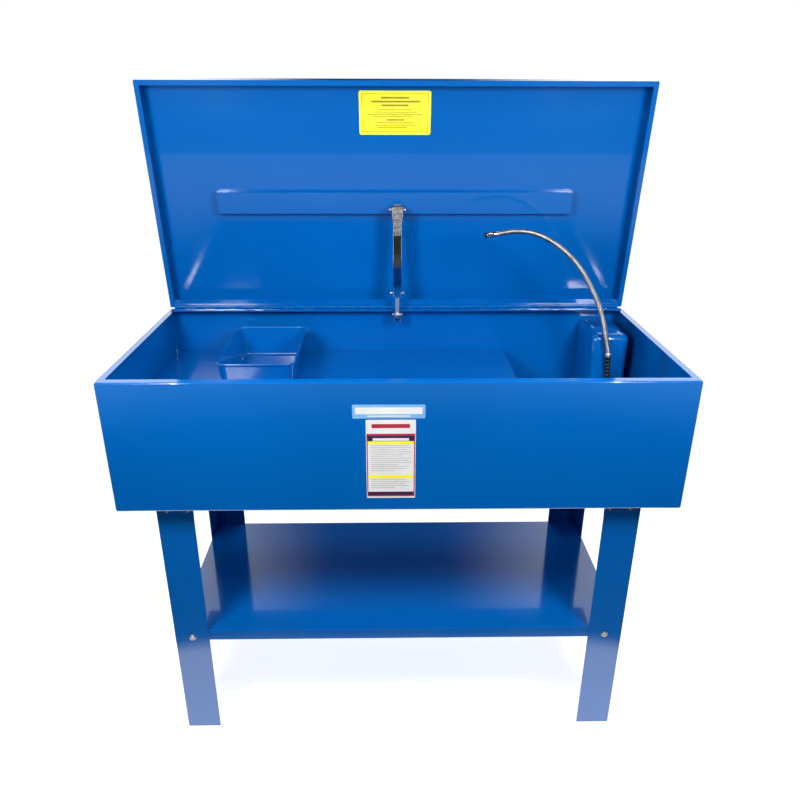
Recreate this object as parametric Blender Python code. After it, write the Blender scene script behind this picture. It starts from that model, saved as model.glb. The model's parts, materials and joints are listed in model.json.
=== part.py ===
"""Parts washer tank: a sheet-steel wash tank on four angle legs, with a hinged lid held up by a
telescoping stay with a fusible link, a pump under a cover in the sump, a flexible spout, a work
shelf and a soak basket. Metres, +Z up, standing on the floor, front towards -Y.

The shapes are written with the tank centred on X = 0, Y = 0. The empty washer_frame then moves
everything so that the origin is the bottom centre of the whole object's box at rest."""

import math

import bmesh
import bpy
from mathutils import Euler, Matrix, Vector

# ---------------------------------------------------------------- driving dimensions, in metres
GAP = 0.0003            # clearance between touching pieces
SHEET = 0.0015          # sheet-steel thickness
BEND = 0.003            # outer radius of the folds in sheet

TANK_W = 1.220
TANK_D = 0.560
TANK_BOTTOM = 0.662
TANK_RIM = 0.958
RIM_FRONT = 0.020       # widths of the rim flange, turned inwards
RIM_SIDE = 0.015
RIM_BACK = 0.030

LEG_X = 0.540           # outer faces of the angle legs
LEG_Y = 0.240
LEG_FLANGE = 0.082
LEG_TOP = TANK_BOTTOM - GAP

LOWER_SHELF_TOP = 0.305
LOWER_SHELF_LIP = 0.028

WORK_SHELF_TOP = 0.839
WORK_SHELF_EDGE_X = 0.297
WORK_SHELF_LIP = 0.020
LEDGE = 0.020

TOP_BOLT_Z = 0.642
TOP_BOLT_X = (0.475, 0.520)
SHELF_BOLT_X = 0.498
SHELF_BOLT_Z = 0.286
BOLT_R = 0.0037
BOLT_HEAD_R = 0.0072
BOLT_HEAD_H = 0.0045
BOLT_LENGTH = 0.014
BOLT_HOLE_R = 0.0041

PIN_Y = 0.2727          # lid hinge pin
PIN_Z = 0.9623
KNUCKLE_R = 0.004
LEAF = 0.0012
LEAF_WIDTH = 0.0205
HINGE_HALF = 0.597
KNUCKLE_PITCH = 0.026
HINGE_PIN_R = 0.0025

LID_OPEN = math.radians(83)   # how far the lid stands open at rest, from closed
LID_W = 1.221
LID_L = 0.560
LID_DEPTH = 0.042
LID_LIP = 0.012
LID_BACK = 0.002        # rear face of the closed lid behind the pin
LID_LIP_Z = KNUCKLE_R + GAP   # lip plane of the closed lid above the pin

STIFF_X = (-0.455, 0.445)
STIFF_S = (0.245, 0.300)      # distances along the lid from its rear edge
STIFF_H = 0.018

STAY_S = 0.262          # stay's upper pin, along the lid from its rear edge
STAY_T = Vector((0.0, 0.243, 0.950))    # stay's lower pin
STAY_PIN_R = 0.003
ARM_W = 0.022
ARM_WALL = 0.0018
ARM_FRONT = 0.013       # the arm's web stands this far in front of the line between the pins
ARM_BACK = 0.010
ARM_FROM = 0.035        # distances down the arm from the upper pin
ARM_TO = 0.220
LINK_W = 0.0275
LINK_TO = 0.062
ROD_W = 0.0095
ROD_THICK = 0.004
ROD_LENGTH = 0.190

COVER_X = (0.495, 0.588)
COVER_Y = (0.113, TANK_D / 2 - SHEET - GAP)
COVER_TOP = 0.932
COVER_CORNER = 0.015
COVER_ROUND = 0.018

PUMP = Vector((0.545, 0.216, 0.0))
SUMP_FLOOR = TANK_BOTTOM + SHEET
OUTLET_Y = 0.176
ELBOW_Z = 0.780

SPOUT = Vector((0.5385, 0.100, 0.815))   # tilt axis of the spout, at the sleeve's foot
SPOUT_R = 0.0063
SLEEVE_R = 0.0068
SLEEVE_END = 0.073      # lengths along the spout's route
TIP_LENGTH = 0.030
COLLAR_Z = (0.7966, 0.8078)
SPOUT_ROUTE = (         # x, z: up from the sump, over to the left and slightly down
    (0.5385, 0.815), (0.535, 0.857), (0.5305, 0.895), (0.520, 0.936), (0.508, 0.976),
    (0.491, 1.020), (0.466, 1.065), (0.4395, 1.104), (0.410, 1.135), (0.3755, 1.1615),
    (0.341, 1.180), (0.306, 1.190), (0.2715, 1.191), (0.237, 1.186), (0.205, 1.182))

BASKET_X = (-0.425, -0.240)
BASKET_Y = (-0.058, 0.246)
BASKET_Z = (WORK_SHELF_TOP + GAP, 0.917)
BASKET_WALL = 0.0015
BASKET_CORNER = 0.022
BASKET_BEAD = 0.004
BASKET_TAPER = 0.006
BASKET_ROUND = 0.008

DRAIN = Vector((0.450, -0.050, 0.0))
DRAIN_R = 0.016
PLUG_R = 0.0112
GLAND = Vector((0.545, 0.0, 0.905))
GLAND_R = 0.008


# ---------------------------------------------------------------- materials
def material(name, colour, roughness, metallic):
    made = bpy.data.materials.new(name)
    made.use_nodes = True
    shader = made.node_tree.nodes["Principled BSDF"]
    shader.inputs["Base Color"].default_value = (*colour, 1.0)
    shader.inputs["Roughness"].default_value = roughness
    shader.inputs["Metallic"].default_value = metallic
    return made


def make_materials():
    return {
        "paint": material("blue_paint", (0.005, 0.115, 0.50), 0.22, 0.0),
        "zinc": material("zinc_plate", (0.62, 0.63, 0.64), 0.35, 1.0),
        "chrome": material("chrome", (0.72, 0.72, 0.73), 0.12, 1.0),
        "link": material("cast_link", (0.30, 0.30, 0.29), 0.50, 1.0),
        "rubber": material("black_rubber", (0.015, 0.015, 0.017), 0.45, 0.0),
        "plastic": material("black_plastic", (0.020, 0.020, 0.022), 0.40, 0.0),
        "brass": material("brass", (0.65, 0.45, 0.18), 0.30, 1.0),
    }


# ---------------------------------------------------------------- mesh helpers
def add_object(name, mesh, finish, parent):
    made = bpy.data.objects.new(name, mesh)
    bpy.context.scene.collection.objects.link(made)
    mesh.materials.append(MATERIALS[finish])
    mesh.shade_smooth()
    mesh.set_sharp_from_angle(angle=math.radians(35))
    made.parent = parent
    return made


def loft(name, loops, finish, parent):
    """One closed solid through loops with equal numbers of points; both end loops are filled."""
    bm = bmesh.new()
    rings = [[bm.verts.new(point) for point in loop] for loop in loops]
    for low, high in zip(rings, rings[1:]):
        count = len(low)
        for i in range(count):
            j = (i + 1) % count
            bm.faces.new((low[i], low[j], high[j], high[i]))
    bm.faces.new(list(reversed(rings[0])))
    bm.faces.new(rings[-1])
    bmesh.ops.recalc_face_normals(bm, faces=bm.faces)
    mesh = bpy.data.meshes.new(name)
    bm.to_mesh(mesh)
    bm.free()
    return add_object(name, mesh, finish, parent)


def rounded_rect(xs, ys, z, radius=0.0, steps=3):
    """Points of a rectangle with rounded corners in the plane at height z."""
    if radius <= 0.0:
        return [(xs[0], ys[0], z), (xs[1], ys[0], z), (xs[1], ys[1], z), (xs[0], ys[1], z)]
    centres = ((xs[1] - radius, ys[1] - radius), (xs[0] + radius, ys[1] - radius),
               (xs[0] + radius, ys[0] + radius), (xs[1] - radius, ys[0] + radius))
    points = []
    for corner, (cx, cy) in enumerate(centres):
        for step in range(steps + 1):
            turn = math.radians(90) * (corner + step / steps)
            points.append((cx + radius * math.cos(turn), cy + radius * math.sin(turn), z))
    return points


def inset(span, by):
    return (span[0] + by, span[1] - by)


def prism(name, outline, axis, span, finish, parent):
    """A flat outline extruded along X, Y or Z. The outline gives the two other coordinates."""
    def place(a, b, along):
        return {"X": (along, a, b), "Y": (a, along, b), "Z": (a, b, along)}[axis]
    loops = [[place(a, b, along) for a, b in outline] for along in span]
    return loft(name, loops, finish, parent)


def turned(name, profile, centre, finish, parent, axis="Z", sides=20):
    """A solid of revolution: profile lists (radius, distance along the axis)."""
    loops = []
    for radius, along in profile:
        ring = []
        for i in range(sides):
            turn = 2 * math.pi * i / sides
            a = radius * math.cos(turn)
            b = radius * math.sin(turn)
            ring.append({"X": (along, a, b), "Y": (a, along, b), "Z": (a, b, along)}[axis])
        loops.append([Vector(point) + centre for point in ring])
    return loft(name, loops, finish, parent)


def ring_profile(outer, inner, low, high):
    """Profile of a plain bush, closed through its own bore, for closed_ring."""
    return [(outer, low), (outer, high), (inner, high), (inner, low)]


def closed_ring(name, profile, centre, finish, parent, sides=20):
    """A body of revolution about Z with an open bore: the profile is a closed outline."""
    bm = bmesh.new()
    rings = []
    for i in range(sides):
        turn = 2 * math.pi * i / sides
        rings.append([bm.verts.new(Vector((radius * math.cos(turn), radius * math.sin(turn), z)) + centre)
                      for radius, z in profile])
    for here, there in zip(rings, rings[1:] + rings[:1]):
        for i in range(len(profile)):
            j = (i + 1) % len(profile)
            bm.faces.new((here[i], here[j], there[j], there[i]))
    bmesh.ops.recalc_face_normals(bm, faces=bm.faces)
    mesh = bpy.data.meshes.new(name)
    bm.to_mesh(mesh)
    bm.free()
    return add_object(name, mesh, finish, parent)


def box_mesh(name, boxes):
    """Separate boxes in one mesh, each given as (x span, y span, z span)."""
    bm = bmesh.new()
    for xs, ys, zs in boxes:
        size = (xs[1] - xs[0], ys[1] - ys[0], zs[1] - zs[0])
        centre = (sum(xs) / 2, sum(ys) / 2, sum(zs) / 2)
        bmesh.ops.create_cube(bm, size=1.0, matrix=Matrix.LocRotScale(centre, None, size))
    mesh = bpy.data.meshes.new(name)
    bm.to_mesh(mesh)
    bm.free()
    return mesh


def rod_mesh(name, rods, sides=16):
    """Separate round rods in one mesh, each given as (centre, axis, radius, length)."""
    turns = {"X": Euler((0, math.pi / 2, 0)), "Y": Euler((math.pi / 2, 0, 0)), "Z": Euler((0, 0, 0))}
    bm = bmesh.new()
    for centre, axis, radius, length in rods:
        place = Matrix.LocRotScale(Vector(centre), turns[axis], None)
        bmesh.ops.create_cone(bm, cap_ends=True, segments=sides, radius1=radius, radius2=radius,
                              depth=length, matrix=place)
    mesh = bpy.data.meshes.new(name)
    bm.to_mesh(mesh)
    bm.free()
    return mesh


def boolean(target, mesh, operation="DIFFERENCE"):
    """Cut the mesh out of the target, or join it on; the tool object stays hidden."""
    tool = bpy.data.objects.new(mesh.name, mesh)
    bpy.context.scene.collection.objects.link(tool)
    tool.parent = target.parent
    tool.hide_render = True
    tool.display_type = "WIRE"
    change = target.modifiers.new(mesh.name, "BOOLEAN")
    change.operation = operation
    change.solver = "EXACT"
    change.object = tool


def tube(name, points, radius, finish, parent, resolution=3):
    """A round solid along the points, as a bevelled poly curve with filled ends."""
    curve = bpy.data.curves.new(name, "CURVE")
    curve.dimensions = "3D"
    curve.bevel_depth = radius
    curve.bevel_resolution = resolution
    curve.use_fill_caps = True
    spline = curve.splines.new("POLY")
    spline.points.add(len(points) - 1)
    for target, point in zip(spline.points, points):
        target.co = (*point, 1.0)
    made = bpy.data.objects.new(name, curve)
    bpy.context.scene.collection.objects.link(made)
    curve.materials.append(MATERIALS[finish])
    made.parent = parent
    return made


def smooth_route(points, per_span=8):
    """Points on a smooth curve (Catmull-Rom) through the given points."""
    ends = [points[0] * 2 - points[1]] + list(points) + [points[-1] * 2 - points[-2]]
    curve = []
    for a, b, c, d in zip(ends, ends[1:], ends[2:], ends[3:]):
        for i in range(per_span):
            t = i / per_span
            curve.append(0.5 * (2 * b + (c - a) * t + (2 * a - 5 * b + 4 * c - d) * t * t
                                + (3 * b - a - 3 * c + d) * t ** 3))
    return curve + [points[-1]]


def route_length(curve):
    return sum((b - a).length for a, b in zip(curve, curve[1:]))


def cut_route(curve, start, end, spacing):
    """Points of the curve between two lengths measured from its first point, evenly spaced but for
    one close to each end, which keeps the end faces square to the curve."""
    count = max(2, round((end - start) / spacing) + 1)
    wanted = [start + (end - start) * i / (count - 1) for i in range(count)]
    wanted = [start, start + 0.0015] + wanted[1:-1] + [end - 0.0015, end]
    points = []
    walked = 0.0
    for a, b in zip(curve, curve[1:]):
        step = (b - a).length
        while wanted and wanted[0] <= walked + step + 1e-9:
            points.append(a.lerp(b, (wanted[0] - walked) / step))
            wanted.pop(0)
        walked += step
    return points


def joint_axis(name, location, turn, parent):
    """An empty on a joint's axis, turned about X, which carries the pieces that move with it."""
    empty = bpy.data.objects.new(name, None)
    bpy.context.scene.collection.objects.link(empty)
    empty.location = location
    empty.rotation_euler = (turn, 0.0, 0.0)
    empty.parent = parent
    return empty


# ---------------------------------------------------------------- tank and stand
def make_tank(frame):
    """An open box with a rim flange turned inwards, and holes for the drain and the cable gland."""
    bend = BEND
    outer_x = (-TANK_W / 2, TANK_W / 2)
    outer_y = (-TANK_D / 2, TANK_D / 2)
    inner_x = inset(outer_x, SHEET)
    inner_y = inset(outer_y, SHEET)
    mouth_x = inset(outer_x, RIM_SIDE)
    mouth_y = (outer_y[0] + RIM_FRONT, outer_y[1] - RIM_BACK)
    under = TANK_RIM - SHEET
    loops = [
        rounded_rect(inset(outer_x, bend), inset(outer_y, bend), TANK_BOTTOM, bend),
        rounded_rect(inset(outer_x, bend / 3), inset(outer_y, bend / 3), TANK_BOTTOM + bend / 3, bend),
        rounded_rect(outer_x, outer_y, TANK_BOTTOM + bend, bend),
        rounded_rect(outer_x, outer_y, TANK_RIM - bend, bend),
        rounded_rect(inset(outer_x, bend / 3), inset(outer_y, bend / 3), TANK_RIM - bend / 3, bend),
        rounded_rect(inset(outer_x, bend), inset(outer_y, bend), TANK_RIM, bend),
        rounded_rect(mouth_x, mouth_y, TANK_RIM, bend / 2),
        rounded_rect(mouth_x, mouth_y, under, bend / 2),
        rounded_rect(inner_x, inner_y, under, bend / 3),
        rounded_rect(inner_x, inner_y, SUMP_FLOOR, bend / 3),
    ]
    tank = loft("tank_shell", loops, "paint", frame)
    drain = (DRAIN.x, DRAIN.y, TANK_BOTTOM)
    gland = (GLAND.x, TANK_D / 2, GLAND.z)
    boolean(tank, rod_mesh("tank_holes", [(drain, "Z", DRAIN_R + GAP, 0.02),
                                          (gland, "Y", GLAND_R + GAP, 0.02)], sides=32))


def bolt_holes(name, side_x, side_y, bolts):
    rods = [((side_x * x, side_y * LEG_Y, z), "Y", BOLT_HOLE_R, 0.03) for x, z in bolts]
    return rod_mesh(name, rods, sides=12)


def leg_outline(side_x, side_y, width, thick):
    """An L in plan with its fold rounded, the corner at the leg's outer corner."""
    steps = 3
    outline = [(LEG_X - width, LEG_Y)]
    for radius, order in ((BEND, 1), (BEND - thick, -1)):
        arc = []
        for i in range(steps + 1):
            turn = math.radians(90) * (1 - i / steps)
            arc.append((LEG_X - BEND + radius * math.cos(turn), LEG_Y - BEND + radius * math.sin(turn)))
        outline += arc[::order]
        if order == 1:
            outline += [(LEG_X, LEG_Y - width), (LEG_X - thick, LEG_Y - width)]
    outline.append((LEG_X - width, LEG_Y - thick))
    return [(side_x * x, side_y * y) for x, y in outline]


def make_legs(frame):
    top_bolts = [(x, TOP_BOLT_Z) for x in TOP_BOLT_X]
    shelf_bolt = [(SHELF_BOLT_X, SHELF_BOLT_Z)]
    for row, side_y in (("front", -1), ("rear", 1)):
        for side, side_x in (("left", -1), ("right", 1)):
            corner = f"{row}_{side}"
            outline = leg_outline(side_x, side_y, LEG_FLANGE, SHEET)
            leg = prism(f"leg_{corner}", outline, "Z", (0.0, LEG_TOP), "paint", frame)
            boolean(leg, bolt_holes(f"leg_holes_{corner}", side_x, side_y, top_bolts + shelf_bolt))
            make_leg_bracket(corner, side_x, side_y, top_bolts, frame)
            make_bolts(corner, side_x, side_y, top_bolts + shelf_bolt, frame)


def make_leg_bracket(corner, side_x, side_y, bolts, frame):
    """The angle under the tank's floor that the leg's top is bolted to."""
    face_y = LEG_Y - SHEET - GAP
    foot_y = face_y - 0.040
    top = TANK_BOTTOM - GAP
    low = top - 0.040
    outline = [(face_y, low), (face_y, top), (foot_y, top), (foot_y, top - SHEET),
               (face_y - SHEET, top - SHEET), (face_y - SHEET, low)]
    outline = [(side_y * y, z) for y, z in outline]
    span = sorted((side_x * (LEG_X - LEG_FLANGE), side_x * (LEG_X - BEND)))
    bracket = prism(f"leg_bracket_{corner}", outline, "X", span, "paint", frame)
    boolean(bracket, bolt_holes(f"bracket_holes_{corner}", side_x, side_y, bolts))


def make_bolts(corner, side_x, side_y, bolts, frame):
    """Domed-head bolts through the leg's front or rear flange."""
    face = side_y * LEG_Y
    for number, (x, z) in enumerate(bolts, start=1):
        out = side_y
        profile = [(BOLT_R, face - out * (BOLT_LENGTH - SHEET)), (BOLT_R, face + out * GAP),
                   (BOLT_HEAD_R, face + out * GAP), (BOLT_HEAD_R, face + out * 0.5 * BOLT_HEAD_H),
                   (0.7 * BOLT_HEAD_R, face + out * BOLT_HEAD_H)]
        place = Vector((side_x * x, 0.0, z))
        turned(f"bolt_{corner}_{number}", profile, place, "zinc", frame, axis="Y", sides=12)


def make_lower_shelf(frame):
    """A tray between the legs with its edges folded down, bolted to the legs through its lip."""
    half_x = LEG_X - SHEET - GAP
    half_y = LEG_Y - SHEET - GAP
    bend = 0.002
    outer_x = (-half_x, half_x)
    outer_y = (-half_y, half_y)
    inner_x = inset(outer_x, SHEET)
    inner_y = inset(outer_y, SHEET)
    low = LOWER_SHELF_TOP - LOWER_SHELF_LIP
    loops = [
        rounded_rect(inset(outer_x, bend), inset(outer_y, bend), LOWER_SHELF_TOP, bend),
        rounded_rect(inset(outer_x, bend / 3), inset(outer_y, bend / 3), LOWER_SHELF_TOP - bend / 3, bend),
        rounded_rect(outer_x, outer_y, LOWER_SHELF_TOP - bend, bend),
        rounded_rect(outer_x, outer_y, low, bend),
        rounded_rect(inner_x, inner_y, low, bend / 4),
        rounded_rect(inner_x, inner_y, LOWER_SHELF_TOP - SHEET, bend / 4),
    ]
    shelf = loft("lower_shelf", loops, "paint", frame)
    holes = [((sx * SHELF_BOLT_X, sy * LEG_Y, SHELF_BOLT_Z), "Y", BOLT_HOLE_R, 0.03)
             for sx in (-1, 1) for sy in (-1, 1)]
    boolean(shelf, rod_mesh("lower_shelf_holes", holes, sides=12))


def make_work_shelf(frame):
    """The shelf inside the tank, with a folded-down edge at the sump, on two angle ledges."""
    left = -TANK_W / 2 + SHEET + GAP
    half_y = TANK_D / 2 - SHEET - GAP
    top = WORK_SHELF_TOP
    edge = WORK_SHELF_EDGE_X
    outline = [(left, top), (edge - 0.002, top), (edge, top - 0.002), (edge, top - WORK_SHELF_LIP),
               (edge - SHEET, top - WORK_SHELF_LIP), (edge - SHEET, top - SHEET), (left, top - SHEET)]
    prism("work_shelf", outline, "Y", (-half_y, half_y), "paint", frame)
    under = top - SHEET - GAP
    for name, side in (("front", -1), ("back", 1)):
        wall = side * half_y
        outline = [(wall, under), (wall - side * LEDGE, under), (wall - side * LEDGE, under - SHEET),
                   (wall - side * SHEET, under - SHEET), (wall - side * SHEET, under - LEDGE),
                   (wall, under - LEDGE)]
        prism(f"shelf_ledge_{name}", outline, "X", (left + 0.004, edge - 0.006), "paint", frame)


def make_basket(frame):
    """The loose soak basket: a deep-drawn box with rounded corners and a rolled rim."""
    low, high = BASKET_Z
    wall_x = inset(BASKET_X, BASKET_BEAD)
    wall_y = inset(BASKET_Y, BASKET_BEAD)
    corner = BASKET_CORNER

    def ring(by, z, radius):
        return rounded_rect(inset(wall_x, by), inset(wall_y, by), z, radius, steps=5)

    loops = []
    for step in range(4):
        turn = math.radians(90) * step / 3
        by = BASKET_TAPER + BASKET_ROUND * (1 - math.sin(turn))
        loops.append(ring(by, low + BASKET_ROUND * (1 - math.cos(turn)), corner))
    bead = high - BASKET_BEAD
    loops.append(ring(0.0, bead, corner))
    loops.append(ring(-BASKET_BEAD, bead + 0.001, corner + BASKET_BEAD))
    loops.append(ring(-BASKET_BEAD, high - 0.001, corner + BASKET_BEAD))
    loops.append(ring(-BASKET_BEAD / 2, high, corner + BASKET_BEAD / 2))
    loops.append(ring(0.0, high, corner))
    loops.append(ring(BASKET_WALL, high - 0.001, corner - BASKET_WALL))
    for step in range(4):
        turn = math.radians(90) * (3 - step) / 3
        by = BASKET_TAPER + BASKET_WALL + (BASKET_ROUND - BASKET_WALL) * (1 - math.sin(turn))
        height = BASKET_WALL + (BASKET_ROUND - BASKET_WALL) * (1 - math.cos(turn))
        loops.append(ring(by, low + height, corner - BASKET_WALL))
    loft("soak_basket", loops, "paint", frame)


# ---------------------------------------------------------------- lid, hinge and stay
def make_lid(axis):
    """The lid pan, in its closed attitude about the hinge pin: walls down, edges turned inwards."""
    bend = BEND
    outer_x = (-LID_W / 2, LID_W / 2)
    outer_y = (LID_BACK - LID_L, LID_BACK)
    inner_x = inset(outer_x, SHEET)
    inner_y = inset(outer_y, SHEET)
    lip_x = inset(outer_x, LID_LIP)
    lip_y = inset(outer_y, LID_LIP)
    low = LID_LIP_Z
    top = low + LID_DEPTH
    loops = [
        rounded_rect(inset(outer_x, bend), inset(outer_y, bend), top, bend),
        rounded_rect(inset(outer_x, bend / 3), inset(outer_y, bend / 3), top - bend / 3, bend),
        rounded_rect(outer_x, outer_y, top - bend, bend),
        rounded_rect(outer_x, outer_y, low + bend / 3, bend),
        rounded_rect(inset(outer_x, bend / 3), inset(outer_y, bend / 3), low, bend),
        rounded_rect(lip_x, lip_y, low, bend / 2),
        rounded_rect(lip_x, lip_y, low + SHEET, bend / 2),
        rounded_rect(inner_x, inner_y, low + SHEET, bend / 3),
        rounded_rect(inner_x, inner_y, top - SHEET, bend / 3),
    ]
    loft("lid_pan", loops, "paint", axis)


def make_stiffener(axis):
    """The channel across the inside of the lid, its flanges against the panel."""
    panel = LID_LIP_Z + LID_DEPTH - SHEET - GAP
    face = panel - STIFF_H
    ys = (LID_BACK - STIFF_S[1], LID_BACK - STIFF_S[0])
    bend = 0.0015
    outline = [(ys[0], panel), (ys[0], face + bend), (ys[0] + bend, face), (ys[1] - bend, face),
               (ys[1], face + bend), (ys[1], panel), (ys[1] - SHEET, panel),
               (ys[1] - SHEET, face + SHEET), (ys[0] + SHEET, face + SHEET), (ys[0] + SHEET, panel)]
    prism("lid_stiffener", outline, "X", STIFF_X, "paint", axis)


def leaf_outline(side):
    """A hinge leaf in section about the pin: a strip lying forwards, curled round the pin.
    side is -1 for the leaf on the rim and +1 for the leaf on the closed lid."""
    curl = 8
    sweep = math.radians(285)
    outer = []
    inner = []
    for i in range(curl + 1):
        turn = -math.pi / 2 + sweep * i / curl
        outer.append((KNUCKLE_R * math.cos(turn), KNUCKLE_R * math.sin(turn)))
        inner.append(((KNUCKLE_R - LEAF) * math.cos(turn), (KNUCKLE_R - LEAF) * math.sin(turn)))
    strip = [(-LEAF_WIDTH, -KNUCKLE_R + LEAF), (-LEAF_WIDTH, -KNUCKLE_R)]
    outline = strip + outer + list(reversed(inner))
    return [(y, -side * z) for y, z in outline]


def make_hinge(frame, axis):
    """A full-width piano hinge: two leaves with interleaved knuckles, on one pin."""
    tank_leaf = prism("hinge_leaf_tank", leaf_outline(-1), "X", (-HINGE_HALF, HINGE_HALF), "paint", frame)
    lid_leaf = prism("hinge_leaf_lid", leaf_outline(1), "X", (-HINGE_HALF, HINGE_HALF), "paint", axis)
    count = int(2 * HINGE_HALF / KNUCKLE_PITCH)
    room = KNUCKLE_R + 2 * GAP
    notches = ([], [])
    for i in range(count):
        start = -HINGE_HALF + 2 * HINGE_HALF * i / count - GAP / 2
        span = (start, start + 2 * HINGE_HALF / count + GAP)
        notches[i % 2].append((span, (-room, room), (-room, room)))
    for leaf, boxes, name in ((tank_leaf, notches[0], "tank_leaf_notches"),
                              (lid_leaf, notches[1], "lid_leaf_notches")):
        boolean(leaf, box_mesh(name, boxes))
    tank_leaf.location = (0.0, PIN_Y, PIN_Z)
    tank_tool = bpy.data.objects["tank_leaf_notches"]
    tank_tool.location = tank_leaf.location
    turned("hinge_pin", [(HINGE_PIN_R, -HINGE_HALF), (HINGE_PIN_R, HINGE_HALF)],
           Vector((0.0, PIN_Y, PIN_Z)), "zinc", frame, axis="X", sides=10)


def open_point(y, z):
    """Where a point of the closed lid, given from the pin, stands when the lid is open."""
    back = Euler((-LID_OPEN, 0.0, 0.0)).to_matrix()
    return back @ Vector((0.0, y, z)) + Vector((0.0, PIN_Y, PIN_Z))


def make_stay(frame, axis):
    """The telescoping stay: fusible link and channel arm on the lid, rod on the tank."""
    upper = Vector((0.0, LID_BACK - STAY_S, LID_LIP_Z))
    top = open_point(upper.y, upper.z)
    line = top - STAY_T
    lean = math.atan2(line.z, line.y) - math.pi / 2
    arm_axis = joint_axis("stay_arm_axis", top, lean, frame)
    rod_axis = joint_axis("stay_rod_axis", STAY_T, lean, frame)
    make_lid_bracket(axis, upper)
    make_tank_bracket(frame)
    make_arm(arm_axis)
    make_rod(rod_axis)


def channel_outline(width, wall, front, back):
    half = width / 2
    return [(-half, back), (-half, front), (half, front), (half, back), (half - wall, back),
            (half - wall, front + wall), (-half + wall, front + wall), (-half + wall, back)]


def make_lid_bracket(axis, pin):
    """Two ears on the stiffener that hold the stay's upper pin."""
    face = LID_LIP_Z + LID_DEPTH - SHEET - GAP - STIFF_H - GAP
    half = ARM_W / 2
    wall = 0.0017
    low = LID_LIP_Z - 0.008
    outline = [(-half, low), (-half, face), (half, face), (half, low), (half - wall, low),
               (half - wall, face - wall), (-half + wall, face - wall), (-half + wall, low)]
    bracket = prism("lid_stay_bracket", outline, "Y", (pin.y - 0.009, pin.y + 0.009), "zinc", axis)
    boolean(bracket, rod_mesh("lid_bracket_hole", [(pin, "X", STAY_PIN_R + GAP, 0.06)]))
    head = 0.0055
    profile = [(head, -0.022), (head, -0.0185), (STAY_PIN_R, -0.0185), (STAY_PIN_R, 0.0185),
               (head, 0.0185), (head, 0.022)]
    turned("stay_upper_pin", profile, pin, "zinc", axis, axis="X", sides=14)


def make_tank_bracket(frame):
    """A U-shaped bracket on the back wall, under the rim flange, that holds the stay's lower pin."""
    wall_y = TANK_D / 2 - SHEET - GAP
    half = 0.0085
    plate = SHEET
    front = STAY_T.y - 0.0065
    outline = [(-half, front), (-half, wall_y), (half, wall_y), (half, front), (half - plate, front),
               (half - plate, wall_y - plate), (-half + plate, wall_y - plate), (-half + plate, front)]
    top = TANK_RIM - SHEET - GAP
    bracket = prism("tank_stay_bracket", outline, "Z", (top - 0.028, top), "zinc", frame)
    boolean(bracket, rod_mesh("tank_bracket_hole", [(STAY_T, "X", 0.0025 + GAP, 0.04)]))
    profile = [(0.0045, -0.0137), (0.0045, -0.0105), (0.0025, -0.0105), (0.0025, 0.0105),
               (0.0045, 0.0105), (0.0045, 0.0137)]
    turned("stay_lower_pin", profile, STAY_T, "zinc", frame, axis="X", sides=14)


def make_arm(axis):
    """The channel arm and the fusible link over its upper end; the arm's back is open."""
    outline = channel_outline(ARM_W, ARM_WALL, -ARM_FRONT, ARM_BACK)
    arm = prism("stay_arm", outline, "Z", (-ARM_TO, -ARM_FROM), "chrome", axis)
    guide = Vector((0.0, ARM_BACK - 0.0035, -ARM_TO + 0.0055))
    boolean(arm, rod_mesh("stay_arm_hole", [(guide, "X", 0.0022 + GAP, 0.04)]))
    profile = [(0.004, -0.0185), (0.004, -0.0125), (0.0022, -0.0125), (0.0022, 0.0125),
               (0.004, 0.0125), (0.004, 0.0185)]
    turned("stay_guide_pin", profile, guide, "zinc", axis, axis="X", sides=12)
    wall = (LINK_W - ARM_W) / 2 - GAP
    outline = channel_outline(LINK_W, wall, -ARM_FRONT - GAP - wall, 0.008)
    link = prism("fusible_link", outline, "Z", (-LINK_TO, 0.008), "link", axis)
    boolean(link, rod_mesh("fusible_link_hole", [((0.0, 0.0, 0.0), "X", STAY_PIN_R + GAP, 0.06)]))
    mouth = (-LINK_W / 2 - 0.01, LINK_W / 2 + 0.01)
    boolean(link, box_mesh("fusible_link_mouth", [(mouth, (-0.03, -0.0085), (-0.0105, 0.02))]))


def make_rod(axis):
    """The flat rod that slides in the arm, with an eye round the lower pin."""
    half = ROD_THICK / 2
    eye = 0.0055
    start = math.asin(half / eye)
    outline = [(half, ROD_LENGTH), (-half, ROD_LENGTH)]
    steps = 12
    for i in range(steps + 1):
        turn = math.pi / 2 + start + (2 * math.pi - 2 * start) * i / steps
        outline.append((eye * math.cos(turn), eye * math.sin(turn)))
    rod = prism("stay_rod", outline, "X", (-ROD_W / 2, ROD_W / 2), "chrome", axis)
    boolean(rod, rod_mesh("stay_rod_hole", [((0.0, 0.0, 0.0), "X", 0.0025 + GAP, 0.03)]))


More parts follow.
